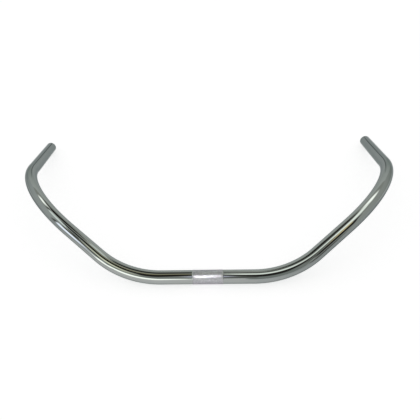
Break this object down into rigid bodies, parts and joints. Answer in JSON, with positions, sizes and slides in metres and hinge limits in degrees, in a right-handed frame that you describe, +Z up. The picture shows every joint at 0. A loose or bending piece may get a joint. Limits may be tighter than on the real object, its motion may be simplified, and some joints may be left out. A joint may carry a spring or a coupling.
{
  "type": "cruiser handlebar",
  "caption": "Wide swept-back bicycle handlebar bent from chromed steel tube, with a knurled clamp band at the centre and long straight grip ends.",
  "frame": {"origin": "middle of the clamp run, on the tube's centreline", "axes": "+X along the clamp axis, which is the rider's left; +Y back from the clamp to the grip ends; +Z up from the surface that the bar lies on"},
  "size_m": [0.7538, 0.4665, 0.0887],
  "materials": {
    "chrome_plate": "polished chrome plating"
  },
  "bodies": {
    "root": {"handlebar": "chrome_plate"}
  },
  "joints": []
}
